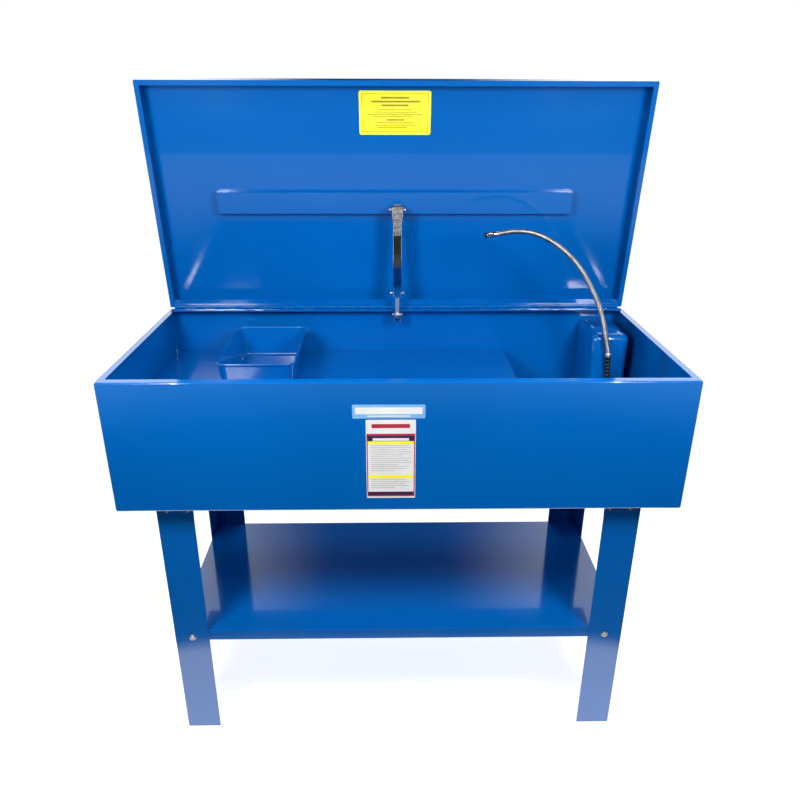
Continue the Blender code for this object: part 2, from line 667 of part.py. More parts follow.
# ---------------------------------------------------------------- pump, spout, drain and gland
def make_cover(frame):
    """The pump cover: a box open below, with rounded corners, standing on the sump's floor."""
    base = SUMP_FLOOR + GAP
    loops = []
    arc = 4
    for step in range(arc + 1):
        turn = math.radians(90) * step / arc
        by = COVER_ROUND * (1 - math.sin(turn))
        z = COVER_TOP - COVER_ROUND * (1 - math.cos(turn))
        loops.append(rounded_rect(inset(COVER_X, by), inset(COVER_Y, by), z, COVER_CORNER, 4))
    loops.append(rounded_rect(COVER_X, COVER_Y, base, COVER_CORNER, 4))
    inner = COVER_CORNER - SHEET
    loops.append(rounded_rect(inset(COVER_X, SHEET), inset(COVER_Y, SHEET), base, inner, 4))
    for step in range(arc + 1):
        turn = math.radians(90) * (arc - step) / arc
        by = SHEET + (COVER_ROUND - SHEET) * (1 - math.sin(turn))
        z = COVER_TOP - SHEET - (COVER_ROUND - SHEET) * (1 - math.cos(turn))
        loops.append(rounded_rect(inset(COVER_X, by), inset(COVER_Y, by), z, inner, 4))
    cover = loft("pump_cover", loops, "paint", frame)
    front = (SPOUT.x, COVER_Y[0], ELBOW_Z)
    back = (GLAND.x, COVER_Y[1], GLAND.z)
    boolean(cover, rod_mesh("cover_holes", [(front, "Y", 0.0065, 0.02), (back, "Y", 0.0135, 0.02)]))
    middle = sum(COVER_X) / 2
    intake = [((middle - 0.025, middle + 0.025), (COVER_Y[0] - 0.01, COVER_Y[0] + 0.01), (0.65, 0.69))]
    boolean(cover, box_mesh("cover_intake", intake))


def make_pump(frame):
    """Submersible pump: strainer cup, impeller on its shaft, motor body with its outlet."""
    base = SUMP_FLOOR + GAP
    cup = [(0.034, base), (0.034, 0.688), (0.032, 0.688), (0.032, base + 0.002)]
    strainer = turned("pump_strainer", cup, PUMP, "plastic", frame)
    windows = []
    for x_half, y_half in ((0.05, 0.008), (0.008, 0.05)):
        windows.append(((PUMP.x - x_half, PUMP.x + x_half), (PUMP.y - y_half, PUMP.y + y_half),
                        (0.670, 0.680)))
    boolean(strainer, box_mesh("strainer_windows_a", windows[:1]))
    boolean(strainer, box_mesh("strainer_windows_b", windows[1:]))
    low = 0.688 + GAP
    bore = 0.0033
    profile = [(bore, 0.710), (bore, low), (0.034, low), (0.034, 0.708), (0.028, 0.712),
               (0.028, 0.785), (0.020, 0.797), (0.006, 0.800)]
    body = turned("pump_body", profile, PUMP, "plastic", frame)
    lug_y = (OUTLET_Y - 0.008, PUMP.y - 0.020)
    boolean(body, box_mesh("pump_outlet_lug", [((PUMP.x - 0.008, PUMP.x + 0.008), lug_y, (0.690, 0.706))]),
            "UNION")
    nipple = (PUMP.x, OUTLET_Y, 0.711)
    boolean(body, rod_mesh("pump_outlet_nipple", [(nipple, "Z", 0.005, 0.018)], sides=14), "UNION")


def make_impeller(frame):
    """A six-bladed impeller on its shaft, turning about a vertical axis inside the strainer."""
    axis = joint_axis("impeller_axis", PUMP, 0.0, frame)
    wheel = turned("pump_impeller", [(0.003, 0.700), (0.003, 0.684), (0.024, 0.684), (0.024, 0.681),
                                     (0.006, 0.681), (0.006, 0.669)], Vector((0, 0, 0)), "plastic", axis)
    for i in range(6):
        blade = box_mesh(f"impeller_blade_{i}", [((0.004, 0.023), (-0.001, 0.001), (0.671, 0.682))])
        boolean(wheel, blade, "UNION")
        bpy.data.objects[f"impeller_blade_{i}"].rotation_euler = (0.0, 0.0, math.radians(60 * i))


def make_plumbing(frame):
    """The elbow through the cover's front, and the hose from the pump up to it."""
    inner_end = 0.1266
    elbow_rods = [((SPOUT.x, (SPOUT.y - 0.004 + inner_end) / 2, ELBOW_Z), "Y", 0.006,
                   inner_end - SPOUT.y + 0.004)]
    top = COLLAR_Z[0] - GAP
    riser = [(0.0080, ELBOW_Z - 0.010), (0.0085, ELBOW_Z - 0.008), (0.0085, top - 0.004), (0.0070, top)]
    elbow = turned("spout_elbow", riser, Vector((SPOUT.x, SPOUT.y, 0.0)), "brass", frame, sides=16)
    boolean(elbow, rod_mesh("spout_elbow_stub", elbow_rods), "UNION")
    bend = 0.011
    straight = OUTLET_Y - bend
    hose = [Vector((SPOUT.x, inner_end + reach, ELBOW_Z)) for reach in (GAP, 0.008)]
    steps = 5
    for i in range(steps + 1):
        turn = math.radians(90) * i / steps
        hose.append(Vector((PUMP.x, straight + bend * math.sin(turn),
                            ELBOW_Z - bend * (1 - math.cos(turn)))))
    hose.append(Vector((PUMP.x, OUTLET_Y, 0.720 + GAP)))
    tube("delivery_hose", hose, 0.0065, "rubber", frame, resolution=2)


def make_spout(frame):
    """The swivelling collar, and the spout on its tilt axis: rubber sleeve, gooseneck and tip."""
    collar_axis = joint_axis("spout_collar_axis", SPOUT, 0.0, frame)
    low = COLLAR_Z[0] - SPOUT.z
    high = COLLAR_Z[1] - SPOUT.z
    turned("spout_collar", [(0.0095, low), (0.0105, low + 0.001), (0.0105, high - 0.002),
                            (0.0085, high)], Vector((0, 0, 0)), "zinc", collar_axis, sides=12)
    spout_axis = joint_axis("spout_tilt_axis", SPOUT, 0.0, frame)
    route = smooth_route([Vector((x, SPOUT.y, z)) - SPOUT for x, z in SPOUT_ROUTE])
    total = route_length(route)
    neck_end = total - TIP_LENGTH
    sleeve = cut_route(route, 0.0, SLEEVE_END - GAP, 0.011)
    tube("spout_sleeve", sleeve, SLEEVE_R, "rubber", spout_axis)
    neck = cut_route(route, SLEEVE_END, neck_end - GAP, 0.014)
    tube("spout_gooseneck", neck, SPOUT_R, "chrome", spout_axis)
    tip = cut_route(route, neck_end, total, 0.010)
    tube("spout_tip", tip, SPOUT_R - 0.0003, "chrome", spout_axis)


def make_drain(frame):
    """The drain bush through the tank's floor, its nut, and the plug screwed into it from below."""
    bush = [(DRAIN_R, 0.640), (DRAIN_R, SUMP_FLOOR + GAP), (0.024, SUMP_FLOOR + GAP),
            (0.024, SUMP_FLOOR + 0.003), (PLUG_R + GAP, SUMP_FLOOR + 0.003), (PLUG_R + GAP, 0.640)]
    closed_ring("drain_bush", bush, DRAIN, "brass", frame)
    nut = ring_profile(0.024, DRAIN_R + GAP, 0.652, TANK_BOTTOM - GAP)
    closed_ring("drain_nut", nut, DRAIN, "brass", frame)
    axis = joint_axis("drain_plug_axis", DRAIN, 0.0, frame)
    plug = [(0.013, 0.627), (0.014, 0.629), (0.014, 0.640 - GAP), (PLUG_R, 0.640 - GAP), (PLUG_R, 0.661)]
    turned("drain_plug", plug, Vector((0, 0, 0)), "brass", axis, sides=12)


def make_gland(frame):
    """The cable gland through the tank's back wall, behind the pump cover."""
    outer = TANK_D / 2
    inner = outer - SHEET
    profile = [(0.0120, inner - 0.007), (0.0120, inner - GAP), (GLAND_R, inner - GAP),
               (GLAND_R, outer + GAP), (0.0120, outer + GAP), (0.0120, outer + 0.006),
               (0.0095, outer + 0.010), (0.0060, outer + 0.018)]
    turned("cable_gland", profile, Vector((GLAND.x, 0.0, GLAND.z)), "plastic", frame, axis="Y", sides=16)


# ---------------------------------------------------------------- assembly
def lid_reach():
    """Rearmost Y of the open lid: the lower rear corner of its panel."""
    bend = BEND
    top = LID_LIP_Z + LID_DEPTH
    return max(open_point(LID_BACK - inward, top - drop).y
               for inward, drop in ((bend, 0.0), (bend / 3, bend / 3), (0.0, bend)))


def main():
    for old in list(bpy.data.objects):
        bpy.data.objects.remove(old, do_unlink=True)
    MATERIALS.update(make_materials())
    middle = (lid_reach() - TANK_D / 2) / 2
    frame = joint_axis("washer_frame", (0.0, -middle, 0.0), 0.0, None)
    lid_axis = joint_axis("lid_axis", (0.0, PIN_Y, PIN_Z), -LID_OPEN, frame)
    make_tank(frame)
    make_legs(frame)
    make_lower_shelf(frame)
    make_work_shelf(frame)
    make_basket(frame)
    make_lid(lid_axis)
    make_stiffener(lid_axis)
    make_hinge(frame, lid_axis)
    make_stay(frame, lid_axis)
    make_cover(frame)
    make_pump(frame)
    make_impeller(frame)
    make_plumbing(frame)
    make_spout(frame)
    make_drain(frame)
    make_gland(frame)


MATERIALS = {}
main()
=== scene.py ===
"""The looks of the parts washer tank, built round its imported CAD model.
Metres, row frame: +Z up, the front towards -Y, the floor at z = 0."""

import json
import math

import bmesh
import bpy
from mathutils import Matrix, Vector


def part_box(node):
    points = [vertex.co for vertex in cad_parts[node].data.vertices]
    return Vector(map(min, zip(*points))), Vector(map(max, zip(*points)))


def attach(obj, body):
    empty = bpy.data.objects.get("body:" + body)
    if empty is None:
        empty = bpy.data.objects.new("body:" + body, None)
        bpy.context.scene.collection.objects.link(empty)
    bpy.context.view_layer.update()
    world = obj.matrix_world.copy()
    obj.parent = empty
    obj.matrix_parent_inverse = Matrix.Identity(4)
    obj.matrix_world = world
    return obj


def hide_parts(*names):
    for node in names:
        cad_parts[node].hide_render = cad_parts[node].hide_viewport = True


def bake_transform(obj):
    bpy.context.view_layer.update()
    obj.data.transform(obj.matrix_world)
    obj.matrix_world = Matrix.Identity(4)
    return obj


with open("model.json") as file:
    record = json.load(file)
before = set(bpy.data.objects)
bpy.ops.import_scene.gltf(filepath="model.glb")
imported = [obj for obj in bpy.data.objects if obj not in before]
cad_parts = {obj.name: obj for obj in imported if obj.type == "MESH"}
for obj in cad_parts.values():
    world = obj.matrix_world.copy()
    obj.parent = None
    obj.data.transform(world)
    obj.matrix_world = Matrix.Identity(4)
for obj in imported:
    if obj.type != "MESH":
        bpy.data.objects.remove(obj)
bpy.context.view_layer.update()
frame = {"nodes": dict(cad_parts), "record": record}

# ---------------------------------------------------------------- sizes repeated from part.py, metres
SHEET = 0.0015
GAP = 0.0003
LID_OPEN_DEGREES = 83.0
LID_BACK = 0.002
LID_LIP_Z = 0.0043
LID_DEPTH = 0.042
SPOUT_R = 0.0063
SLEEVE_R = 0.0068
SLEEVE_END = 0.073
TIP_LENGTH = 0.030
SPOUT_ROUTE = (
    (0.5385, 0.815), (0.535, 0.857), (0.5305, 0.895), (0.520, 0.936), (0.508, 0.976),
    (0.491, 1.020), (0.466, 1.065), (0.4395, 1.104), (0.410, 1.135), (0.3755, 1.1615),
    (0.341, 1.180), (0.306, 1.190), (0.2715, 1.191), (0.237, 1.186), (0.205, 1.182))

# ---------------------------------------------------------------- bolts, metres
BOLT_HEAD = 0.0045
HEAD_FLATS = 0.0124
NUT_FLATS = 0.0130
WASHER_R = 0.0082
THREAD_R = 0.0037

# ---------------------------------------------------------------- camera, degrees, and the floor, metres
CAMERA_PLACE = (-0.0231, -1.6324, 1.4726)
CAMERA_DOWN = 23.40
CAMERA_ROLL = -0.14
CAMERA_TURN = -0.90
CAMERA_LENS = 32.20
CAMERA_SHIFT = 0.0136
FLOOR_PATCH = (0.55, 0.28)

# ---------------------------------------------------------------- colours, linear
BLUE = (0.0, 0.122, 0.455)
BLUE_DEEP = (0.0, 0.108, 0.420)


def centre(node):
    low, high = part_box(node)
    return (low + high) / 2


# ---------------------------------------------------------------- camera, light and floor
def make_camera():
    data = bpy.data.cameras.new("camera")
    data.lens = CAMERA_LENS
    data.sensor_width = 36.0
    data.shift_y = CAMERA_SHIFT
    camera = bpy.data.objects.new("camera", data)
    camera.location = CAMERA_PLACE
    turns = (90 - CAMERA_DOWN, CAMERA_ROLL, CAMERA_TURN)
    camera.rotation_euler = [math.radians(turn) for turn in turns]
    bpy.context.scene.collection.objects.link(camera)
    bpy.context.scene.camera = camera


def area_light(name, place, aim, width, height, power):
    data = bpy.data.lights.new(name, "AREA")
    data.shape = "RECTANGLE"
    data.size = width
    data.size_y = height
    data.energy = power
    light = bpy.data.objects.new(name, data)
    light.location = place
    light.rotation_euler = (Vector(aim) - Vector(place)).to_track_quat("-Z", "Y").to_euler()
    light.visible_camera = False
    bpy.context.scene.collection.objects.link(light)


def make_lights():
    """Two small soft boxes in front of the lid, a weak one above the middle, a strip at each side and
    a soft box high behind."""
    tank = (0.0, 0.0, 0.9)
    for side in (-1, 1):
        area_light(f"front_softbox_{side}", (0.74 * side, -0.85, 1.6), tank, 0.30, 0.45, 13.8)
        area_light(f"side_strip_{side}", (2.6 * side, 0.1, 1.3), (0.0, 0.1, 0.9), 0.5, 1.5, 9.0)
    area_light("top_softbox", (0.0, -1.0, 2.6), tank, 0.7, 0.5, 7.0)
    area_light("back_softbox", (0.5, 1.7, 3.6), (0.0, 0.2, 0.8), 1.8, 1.2, 45.0)


def add_nodes(tree, **kinds):
    """Adds a shader node for each name, of the kind given without its ShaderNode prefix."""
    return {name: tree.nodes.new(f"ShaderNode{kind}") for name, kind in kinds.items()}


def join(tree, nodes, rows):
    """Links nodes: each row is a name, its output, the next name and its input."""
    for start, output, end, socket in rows:
        tree.links.new(nodes[start].outputs[output], nodes[end].inputs[socket])


def map_range(node, low, high, to_low, to_high, shape="SMOOTHSTEP"):
    node.interpolation_type = shape
    for socket, value in zip(("From Min", "From Max", "To Min", "To Max"), (low, high, to_low, to_high)):
        node.inputs[socket].default_value = value


def make_world():
    """A white room to look at, a dim one to be lit by, brighter behind, and a dark one to be
    mirrored, with a faint wall low in front and bright walls behind at the left and the right."""
    world = bpy.data.worlds.new("studio")
    world.use_nodes = True
    bpy.context.scene.world = world
    tree = world.node_tree
    tree.nodes.clear()
    n = add_nodes(tree, path="LightPath", way="TexCoord", part="SeparateXYZ", aside="Math",
                  behind="MapRange", sides="MapRange", both="Math", level="MapRange", ahead="MapRange",
                  high="MapRange", low="MapRange", band="Math", wall="Math", above="MapRange",
                  walls="Math", total="Math", rear="MapRange", room="Background", mirror="Background",
                  white="Background", gloss="MixShader", seen="MixShader", out="OutputWorld")
    n["aside"].operation = "ABSOLUTE"
    n["total"].operation = "ADD"
    for name in ("both", "band", "wall", "walls"):
        n[name].operation = "MULTIPLY"
    # The mirrored walls behind, at both sides and above the horizon.
    map_range(n["behind"], 0.3, 0.6, 0.0, 1.0)
    map_range(n["sides"], 0.07, 0.27, 0.0, 1.0)
    map_range(n["above"], -0.02, 0.10, 0.0, 1.0)
    map_range(n["level"], 0.0, 1.0, 0.03, 1.45, "LINEAR")
    # The mirrored faint wall in front, a low band.
    map_range(n["ahead"], -0.5, -0.2, 0.05, 0.0)
    map_range(n["high"], -0.30, -0.24, 0.0, 1.0)
    map_range(n["low"], -0.20, -0.08, 1.0, 0.0)
    # The dim room that lights, brighter towards the back.
    map_range(n["rear"], -0.1, 0.7, 0.10, 0.20)
    n["room"].inputs["Color"].default_value = (0.93, 0.96, 1.0, 1.0)
    n["mirror"].inputs["Color"].default_value = (0.9, 0.95, 1.0, 1.0)
    n["white"].inputs["Color"].default_value = (1.0, 1.0, 1.0, 1.0)
    n["white"].inputs["Strength"].default_value = 1.0
    join(tree, n, (
        ("way", "Generated", "part", "Vector"),
        ("part", "X", "aside", 0),
        ("aside", "Value", "sides", "Value"),
        ("part", "Y", "behind", "Value"),
        ("part", "Z", "above", "Value"),
        ("sides", "Result", "both", 0),
        ("behind", "Result", "both", 1),
        ("both", "Value", "walls", 0),
        ("above", "Result", "walls", 1),
        ("walls", "Value", "level", "Value"),
        ("part", "Y", "ahead", "Value"),
        ("part", "Z", "high", "Value"),
        ("part", "Z", "low", "Value"),
        ("high", "Result", "band", 0),
        ("low", "Result", "band", 1),
        ("ahead", "Result", "wall", 0),
        ("band", "Value", "wall", 1),
        ("level", "Result", "total", 0),
        ("wall", "Value", "total", 1),
        ("total", "Value", "mirror", "Strength"),
        ("part", "Y", "rear", "Value"),
        ("rear", "Result", "room", "Strength"),
        ("path", "Is Glossy Ray", "gloss", "Fac"),
        ("room", "Background", "gloss", 1),
        ("mirror", "Background", "gloss", 2),
        ("path", "Is Camera Ray", "seen", "Fac"),
        ("gloss", "Shader", "seen", 1),
        ("white", "Background", "seen", 2),
        ("seen", "Shader", "out", "Surface")))



def make_floor():
    """A pale floor that melts into the white room. Glossy rays see a painted reflection in its place, an
    emission mirrored in the legs
    and the shelf: bright close round the tank, dark further out and a little brighter far away."""
    bm = bmesh.new()
    bmesh.ops.create_grid(bm, x_segments=2, y_segments=2, size=4.0)
    floor = add_mesh("studio_floor", bm)
    floor.location = (0.0, 0.0, -0.0002)
    made = bpy.data.materials.new("studio_floor")
    made.use_nodes = True
    tree = made.node_tree
    tree.nodes.clear()
    n = add_nodes(tree, place="TexCoord", away="VectorMath", off="VectorMath", clamp="VectorMath",
                  length="VectorMath", patch_fade="MapRange", far_rise="MapRange", shine="Math",
                  edge_fade="MapRange", pale="BsdfDiffuse", lift="Emission", plain="AddShader",
                  patch="Emission", path="LightPath", mix="MixShader", open="BsdfTransparent",
                  melt="MixShader", out="OutputMaterial")
    # The distance outside the tank's rectangle on the floor.
    n["away"].operation = "ABSOLUTE"
    n["off"].operation = "SUBTRACT"
    n["off"].inputs[1].default_value = (*FLOOR_PATCH, 0.0)
    n["clamp"].operation = "MAXIMUM"
    n["clamp"].inputs[1].default_value = (0.0, 0.0, 0.0)
    n["length"].operation = "LENGTH"
    # How bright the painted reflection is, an emission glossy rays see in the floor's place, and where the
    # floor melts away for the camera.
    map_range(n["patch_fade"], 0.24, 0.32, 2.0, 0.0)
    map_range(n["far_rise"], 1.9, 3.0, 0.0, 0.40)
    n["shine"].operation = "ADD"
    map_range(n["edge_fade"], 0.25, 1.1, 0.0, 1.0)
    n["pale"].inputs["Color"].default_value = (0.60, 0.60, 0.60, 1.0)
    n["lift"].inputs["Strength"].default_value = 0.80
    join(tree, n, (
        ("place", "Object", "away", 0),
        ("away", "Vector", "off", 0),
        ("off", "Vector", "clamp", 0),
        ("clamp", "Vector", "length", 0),
        ("length", "Value", "patch_fade", "Value"),
        ("length", "Value", "far_rise", "Value"),
        ("length", "Value", "edge_fade", "Value"),
        ("patch_fade", "Result", "shine", 0),
        ("far_rise", "Result", "shine", 1),
        ("shine", "Value", "patch", "Strength"),
        ("pale", "BSDF", "plain", 0),
        ("lift", "Emission", "plain", 1),
        ("edge_fade", "Result", "melt", "Fac"),
        ("plain", "Shader", "melt", 1),
        ("open", "BSDF", "melt", 2),
        # Glossy rays see the painted reflection, an emission, instead of the floor.
        ("path", "Is Glossy Ray", "mix", "Fac"),
        ("melt", "Shader", "mix", 1),
        ("patch", "Emission", "mix", 2),
        ("mix", "Shader", "out", "Surface")))
    floor.data.materials.append(made)


# ---------------------------------------------------------------- materials
def noise(tree, scale, detail=3.0):
    """A noise texture in the object's own metres, scale being features per metre."""
    place = tree.nodes.new("ShaderNodeTexCoord")
    texture = tree.nodes.new("ShaderNodeTexNoise")
    texture.inputs["Scale"].default_value = scale
    texture.inputs["Detail"].default_value = detail
    tree.links.new(place.outputs["Object"], texture.inputs["Vector"])
    return texture.outputs["Fac"]


def spread(tree, value, low, high):
    """The noise's middle part, stretched to run from low to high."""
    step = tree.nodes.new("ShaderNodeMapRange")
    step.inputs["From Min"].default_value = 0.3
    step.inputs["From Max"].default_value = 0.7
    step.inputs["To Min"].default_value = low
    step.inputs["To Max"].default_value = high
    tree.links.new(value, step.inputs["Value"])
    return step.outputs["Result"]


def add_bump(tree, height, distance, under=None):
    bump = tree.nodes.new("ShaderNodeBump")
    bump.inputs["Distance"].default_value = distance
    bump.inputs["Strength"].default_value = 1.0
    tree.links.new(height, bump.inputs["Height"])
    if under is not None:
        tree.links.new(under, bump.inputs["Normal"])
    return bump.outputs["Normal"]


def make_material(name, dark, light, rough, metallic, patches, bumps, coat=0.0, coat_rough=0.05):
    """dark to light over noise of patches per metre; rough is (low, high); each bump is
    (features per metre, height in metres)."""
    made = bpy.data.materials.new(name)
    made.use_nodes = True
    tree = made.node_tree
    shader = tree.nodes["Principled BSDF"]
    shader.inputs["Metallic"].default_value = metallic
    shader.inputs["Coat Weight"].default_value = coat
    shader.inputs["Coat Roughness"].default_value = coat_rough
    tone = spread(tree, noise(tree, patches), 0.0, 1.0)
    mix = tree.nodes.new("ShaderNodeMix")
    mix.data_type = "RGBA"
    mix.inputs["A"].default_value = (*dark, 1.0)
    mix.inputs["B"].default_value = (*light, 1.0)
    tree.links.new(tone, mix.inputs["Factor"])
    tree.links.new(mix.outputs["Result"], shader.inputs["Base Color"])
    tree.links.new(spread(tree, noise(tree, patches * 2.7), *rough), shader.inputs["Roughness"])
    normal = None
    for scale, height in bumps:
        normal = add_bump(tree, noise(tree, scale, 2.0), height, normal)
    if normal is not None:
        tree.links.new(normal, shader.inputs["Normal"])
    made.diffuse_color = (*light, 1.0)
    return made


def make_materials():
    """The record's slots, and the finishes that only pieces made here have."""
    # finish, name, darkest and lightest colour, roughness, metallic, patches per metre, bumps
    rows = (
        ("zinc", "zinc_plate", (0.52, 0.54, 0.55), (0.68, 0.68, 0.66), (0.24, 0.42), 1.0, 90.0,
         [(900.0, 0.00002)]),
        ("chrome", "chrome", (0.66, 0.66, 0.67), (0.78, 0.78, 0.78), (0.08, 0.14), 1.0, 60.0,
         [(500.0, 0.00001)]),
        ("hose", "metal_hose", (0.36, 0.35, 0.33), (0.48, 0.47, 0.45), (0.28, 0.40), 1.0, 60.0,
         [(500.0, 0.00001)]),
        ("bright", "bright_steel", (0.74, 0.74, 0.74), (0.86, 0.86, 0.85), (0.34, 0.46), 1.0, 60.0,
         [(500.0, 0.00001)]),
        ("link", "cast_link", (0.16, 0.16, 0.15), (0.62, 0.61, 0.58), (0.34, 0.60), 1.0, 260.0,
         [(420.0, 0.00040)]),
        ("brass", "brass", (0.56, 0.38, 0.14), (0.70, 0.50, 0.21), (0.22, 0.38), 1.0, 70.0,
         [(600.0, 0.00002)]),
        ("rubber", "black_rubber", (0.004, 0.004, 0.005), (0.010, 0.010, 0.011), (0.26, 0.38), 0.0, 80.0,
         [(600.0, 0.00004)]),
        ("plastic", "black_plastic", (0.014, 0.014, 0.015), (0.026, 0.026, 0.028), (0.34, 0.50), 0.0, 40.0,
         [(900.0, 0.00003)]),
        ("yellow", "label_yellow", (0.93, 0.83, 0.03), (0.98, 0.90, 0.06), (0.30, 0.40), 0.0, 20.0,
         [(400.0, 0.00001)]),
        ("white", "label_white", (0.72, 0.73, 0.74), (0.80, 0.80, 0.80), (0.30, 0.40), 0.0, 20.0,
         [(400.0, 0.00001)]),
        ("grey", "label_grey_print", (0.42, 0.42, 0.42), (0.52, 0.52, 0.52), (0.35, 0.45), 0.0, 60.0, []),
        ("ochre", "label_dark_print", (0.30, 0.24, 0.01), (0.40, 0.33, 0.02), (0.35, 0.45), 0.0, 60.0, []),
        ("navy", "label_navy", (0.010, 0.016, 0.075), (0.014, 0.024, 0.10), (0.30, 0.40), 0.0, 30.0, []),
        ("red", "label_red", (0.38, 0.02, 0.05), (0.46, 0.03, 0.06), (0.30, 0.40), 0.0, 30.0, []),
        ("sky", "label_pale_blue", (0.16, 0.40, 0.72), (0.22, 0.48, 0.80), (0.30, 0.40), 0.0, 30.0, []))
    made = {finish: make_material(*values) for finish, *values in rows}
    made["paint"] = make_material("blue_powder_coat", BLUE_DEEP, BLUE, (0.10, 0.17), 0.0, 2.2,
                                  [(2.4, 0.0006), (210.0, 0.000012)], coat=0.75, coat_rough=0.02)
    return made


# ---------------------------------------------------------------- mesh helpers
def add_mesh(name, bm, angle=35.0):
    bmesh.ops.recalc_face_normals(bm, faces=bm.faces)
    mesh = bpy.data.meshes.new(name)
    bm.to_mesh(mesh)
    bm.free()
    mesh.shade_smooth()
    mesh.set_sharp_from_angle(angle=math.radians(angle))
    made = bpy.data.objects.new(name, mesh)
    bpy.context.scene.collection.objects.link(made)
    return made


def finish_piece(made, finish, body, nodes=()):
    """Gives a piece its material and slot, the CAD nodes it stands for, and its body, if it has one."""
    made.data.materials.clear()
    made.data.materials.append(MATERIALS[finish])
    if nodes:
        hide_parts(*nodes)
    if body is not None:
        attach(made, body)
    return made


def add_loft(bm, loops):
    """Skins loops of equal counts, and closes the first and the last one."""
    rings = [[bm.verts.new(point) for point in loop] for loop in loops]
    for low, high in zip(rings, rings[1:]):
        count = len(low)
        for i in range(count):
            j = (i + 1) % count
            bm.faces.new((low[i], low[j], high[j], high[i]))
    bm.faces.new(list(reversed(rings[0])))
    bm.faces.new(rings[-1])


def circle(place, radius, height, sides):
    points = []
    for i in range(sides):
        turn = 2 * math.pi * i / sides
        points.append(place @ Vector((radius * math.cos(turn), radius * math.sin(turn), height)))
    return points


def add_turned(bm, profile, place, sides=32):
    """A body of revolution about the Z axis of place: profile lists (radius, height)."""
    add_loft(bm, [circle(place, radius, height, sides) for radius, height in profile])


def rounded(outline, radius, steps=4):
    """A closed outline of 2-D points with each corner rounded."""
    points = []
    count = len(outline)
    for i, corner in enumerate(outline):
        here = Vector(corner)
        before = Vector(outline[i - 1]) - here
        after = Vector(outline[(i + 1) % count]) - here
        half = before.angle(after) / 2
        reach = min(radius / math.tan(half), 0.49 * before.length, 0.49 * after.length)
        if reach < 1e-6:
            points.append(here)
            continue
        start = here + before.normalized() * reach
        end = here + after.normalized() * reach
        for step in range(steps + 1):
            t = step / steps
            points.append((1 - t) ** 2 * start + 2 * t * (1 - t) * here + t * t * end)
    return points


def quarter(steps):
    """Pairs that run round a quarter turn, from (1, 0) to (0, 1)."""
    turns = [math.radians(90) * i / steps for i in range(steps + 1)]
    return [(1 - math.sin(turn), 1 - math.cos(turn)) for turn in turns]


def add_prism(bm, outline, span, place, bevel=0.0):
    """An outline (x, y) extruded along Z of place, its end edges rounded by bevel."""
    points = [Vector((p[0], p[1])) for p in outline]
    levels = [(0.0, span[0]), (0.0, span[1])]
    if bevel > 0.0:
        low = [(bevel * by, span[0] + bevel * up) for by, up in quarter(3)]
        high = [(bevel * by, span[1] - bevel * up) for by, up in quarter(3)]
        levels = low + high[::-1]
    loops = []
    for by, height in levels:
        loops.append([place @ Vector((p.x, p.y, height)) for p in shrink(points, by)])
    add_loft(bm, loops)


def shrink(points, by):
    """A closed outline with every edge moved inwards by a small distance."""
    if by <= 0.0:
        return points
    area = sum(a.x * b.y - b.x * a.y for a, b in zip(points, points[1:] + points[:1]))
    side = 1.0 if area > 0 else -1.0
    moved = []
    count = len(points)
    for i, here in enumerate(points):
        into = (here - points[i - 1]).normalized()
        out = (points[(i + 1) % count] - here).normalized()
        normal = Vector((-(into.y + out.y), into.x + out.x)) * side
        grow = max(0.4, (1 + into.dot(out)) / 2) ** 0.5
        moved.append(here + normal.normalized() * by / grow)
    return moved


def rounded_rect(xs, ys, z, radius, steps=8):
    centres = ((xs[1] - radius, ys[1] - radius), (xs[0] + radius, ys[1] - radius),
               (xs[0] + radius, ys[0] + radius), (xs[1] - radius, ys[0] + radius))
    points = []
    for corner, (cx, cy) in enumerate(centres):
        for step in range(steps + 1):
            turn = math.radians(90) * (corner + step / steps)
            points.append(Vector((cx + radius * math.cos(turn), cy + radius * math.sin(turn), z)))
    return points


def inset(span, by):
    return (span[0] + by, span[1] - by)


def box_outline(xs, ys):
    return [(xs[0], ys[0]), (xs[1], ys[0]), (xs[1], ys[1]), (xs[0], ys[1])]


def turned_x(degrees):
    return Matrix.Rotation(math.radians(degrees), 4, "X")


def along_y(point, out=1.0):
    """A place whose Z axis runs along +Y, or along -Y when out is -1."""
    return Matrix.Translation(point) @ turned_x(-90 * out)


def carve(made, cutter_bm):
    """Cuts the cutter's mesh out of a piece and applies the cut."""
    cutter = add_mesh("cutter", cutter_bm)
    change = made.modifiers.new("holes", "BOOLEAN")
    change.operation = "DIFFERENCE"
    change.solver = "EXACT"
    change.object = cutter
    bpy.context.view_layer.update()
    solved = made.evaluated_get(bpy.context.evaluated_depsgraph_get())
    mesh = bpy.data.meshes.new_from_object(solved)
    made.modifiers.clear()
    made.data = mesh
    bpy.data.objects.remove(cutter, do_unlink=True)


def smooth_route(points):
    """A smooth curve through all the points."""
    per_span = 10
    ends = [points[0] * 2 - points[1]] + list(points) + [points[-1] * 2 - points[-2]]
    curve = []
    for a, b, c, d in zip(ends, ends[1:], ends[2:], ends[3:]):
        for i in range(per_span):
            t = i / per_span
            curve.append(0.5 * (2 * b + (c - a) * t + (2 * a - 5 * b + 4 * c - d) * t * t
                                + (3 * b - a - 3 * c + d) * t ** 3))
    return curve + [points[-1]]


